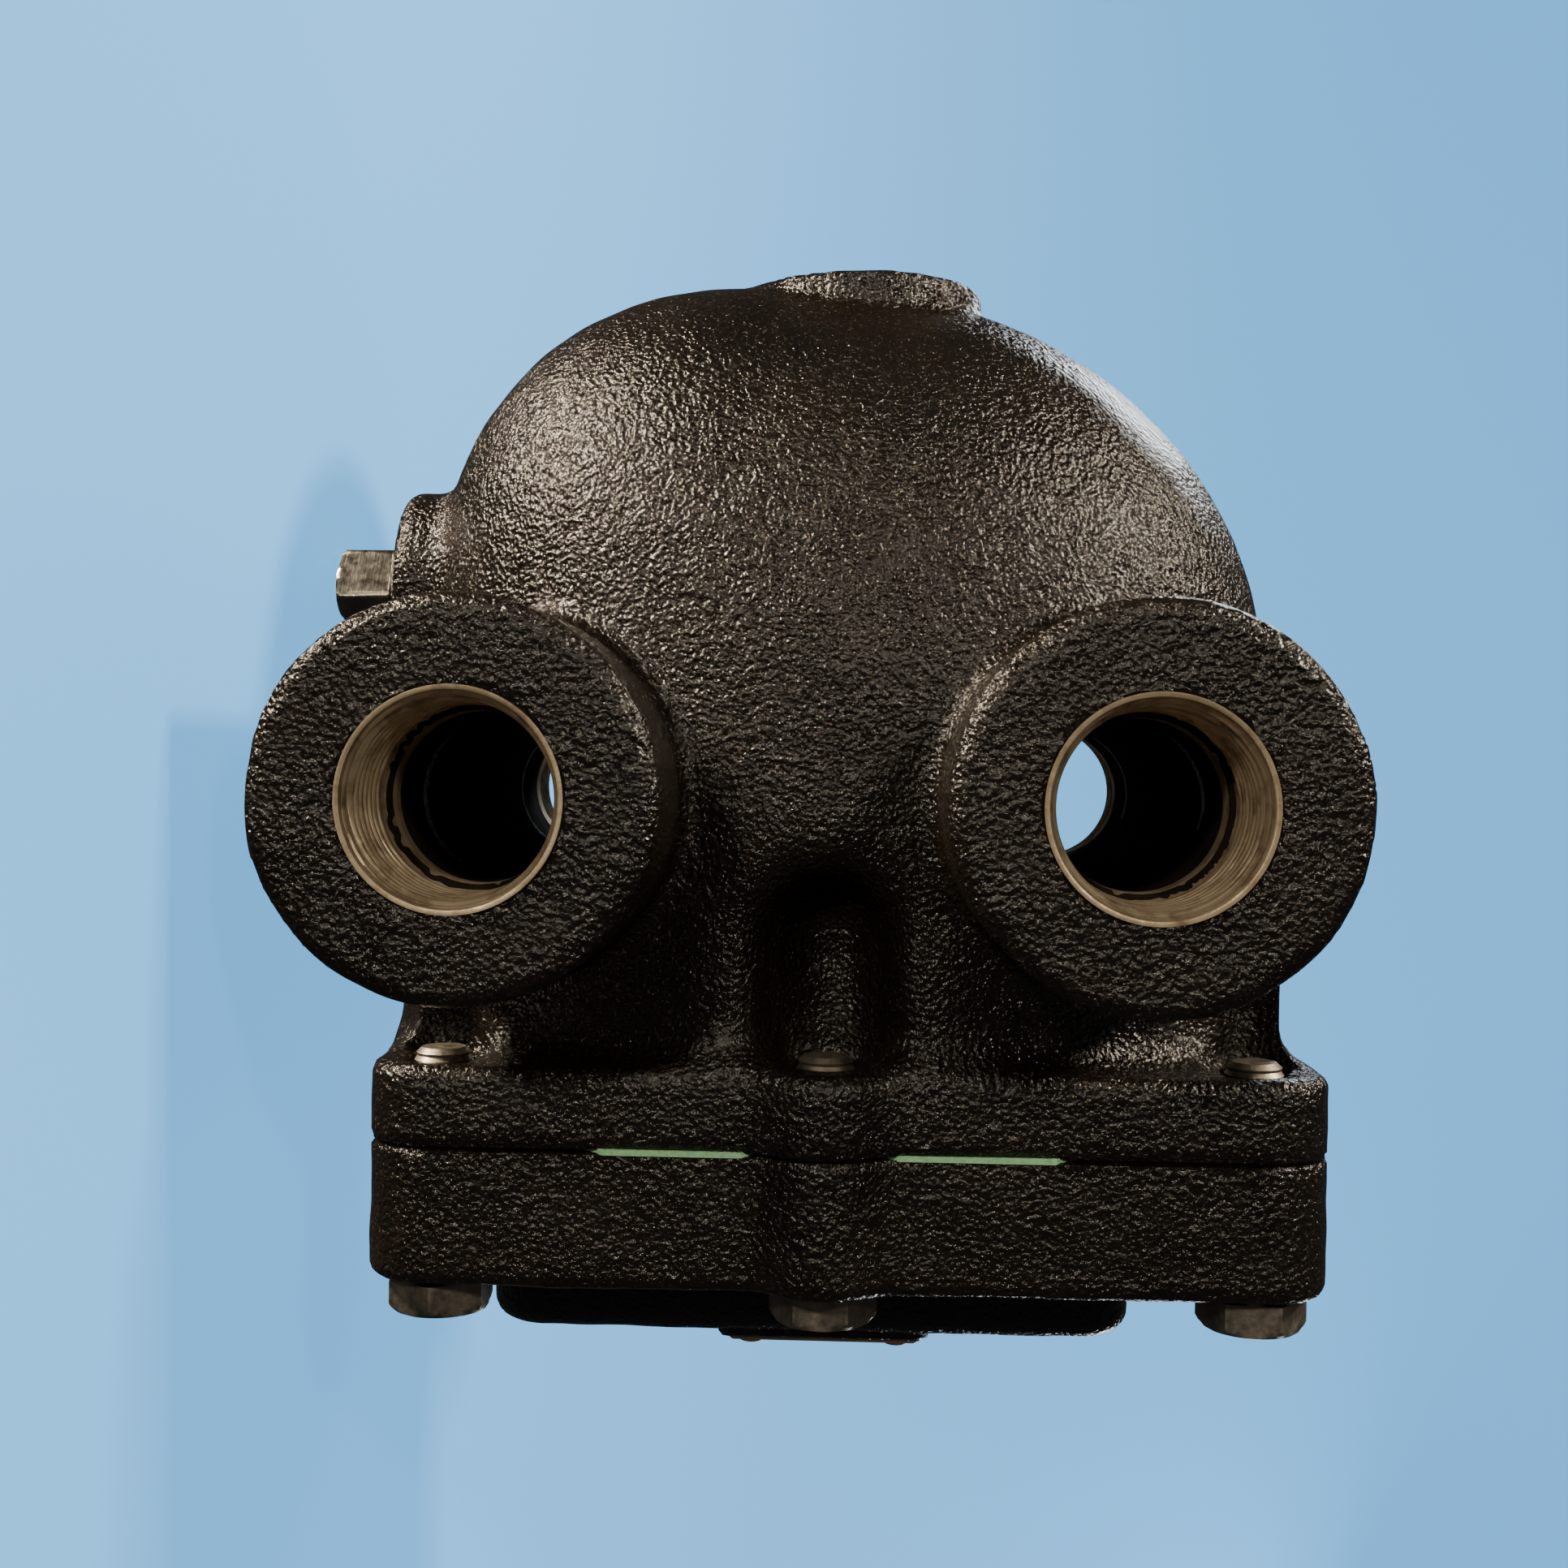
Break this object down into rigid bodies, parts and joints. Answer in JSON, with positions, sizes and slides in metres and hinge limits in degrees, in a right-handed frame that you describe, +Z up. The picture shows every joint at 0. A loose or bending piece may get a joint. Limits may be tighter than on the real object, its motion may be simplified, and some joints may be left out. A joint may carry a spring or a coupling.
{
  "type": "float and thermostatic steam trap",
  "caption": "Cast iron float and thermostatic steam trap with paired threaded inlets and outlets, a domed float chamber and a bolted cover that carries the valve gear.",
  "frame": {"origin": "centre of the front inlet port's face", "axes": "+Z up as installed, from the outlet run to the inlet run; -Y out of the front inlet port, along the pipe run; +X out through the bolted cover"},
  "size_m": [0.157, 0.144, 0.1451],
  "materials": {
    "cast_paint": "semi-gloss brown-black enamel over rough sand-cast iron",
    "plug_steel": "bare steel with a brassy cast",
    "bolt_steel": "dark oiled steel",
    "gasket": "matt green fibre sheet",
    "plate_brass": "satin",
    "stainless": "satin stainless steel",
    "copper_ring": "soft copper"
  },
  "bodies": {
    "root": {"body_casting": "cast_paint", "drain_plug": "plug_steel", "cover_casting": "cast_paint", "cover_gasket": "gasket", "cover_bolts": "bolt_steel", "nameplate": "plate_brass", "nameplate_pins": "plate_brass", "main_seat": "stainless", "main_seat_ring": "copper_ring", "lever_bracket": "stainless", "pivot_pin": "stainless", "pivot_clip": "stainless", "bracket_screws": "bolt_steel", "vent_seat": "stainless", "vent_seat_ring": "copper_ring", "vent_capsule": "stainless", "vent_spacer": "stainless", "vent_cage": "stainless", "vent_cage_screws": "bolt_steel", "capsule_spring": "stainless"},
    "float_arm": {"float_lever": "stainless", "float_ball": "stainless", "float_washer": "stainless", "float_screw": "stainless", "valve_pin": "stainless"},
    "main_valve": {"valve_head": "stainless"},
    "vent_valve": {"vent_plunger": "stainless"}
  },
  "joints": [
    {"name": "float_pivot", "type": "hinge", "parent": "root", "child": "float_arm", "pos_m": [0.036, 0.072, -0.0461], "axis": [0, 1, 0], "range_deg": [0, 20]},
    {"name": "valve_hang", "type": "hinge", "parent": "float_arm", "child": "main_valve", "pos_m": [0.0315, 0.072, -0.0601], "axis": [0, 1, 0], "range_deg": [-20, 0]},
    {"name": "vent_slide", "type": "slide", "parent": "root", "child": "vent_valve", "axis": [1, 0, 0], "range_m": [0, 0.002], "stiffness_N_per_m": 400}
  ]
}
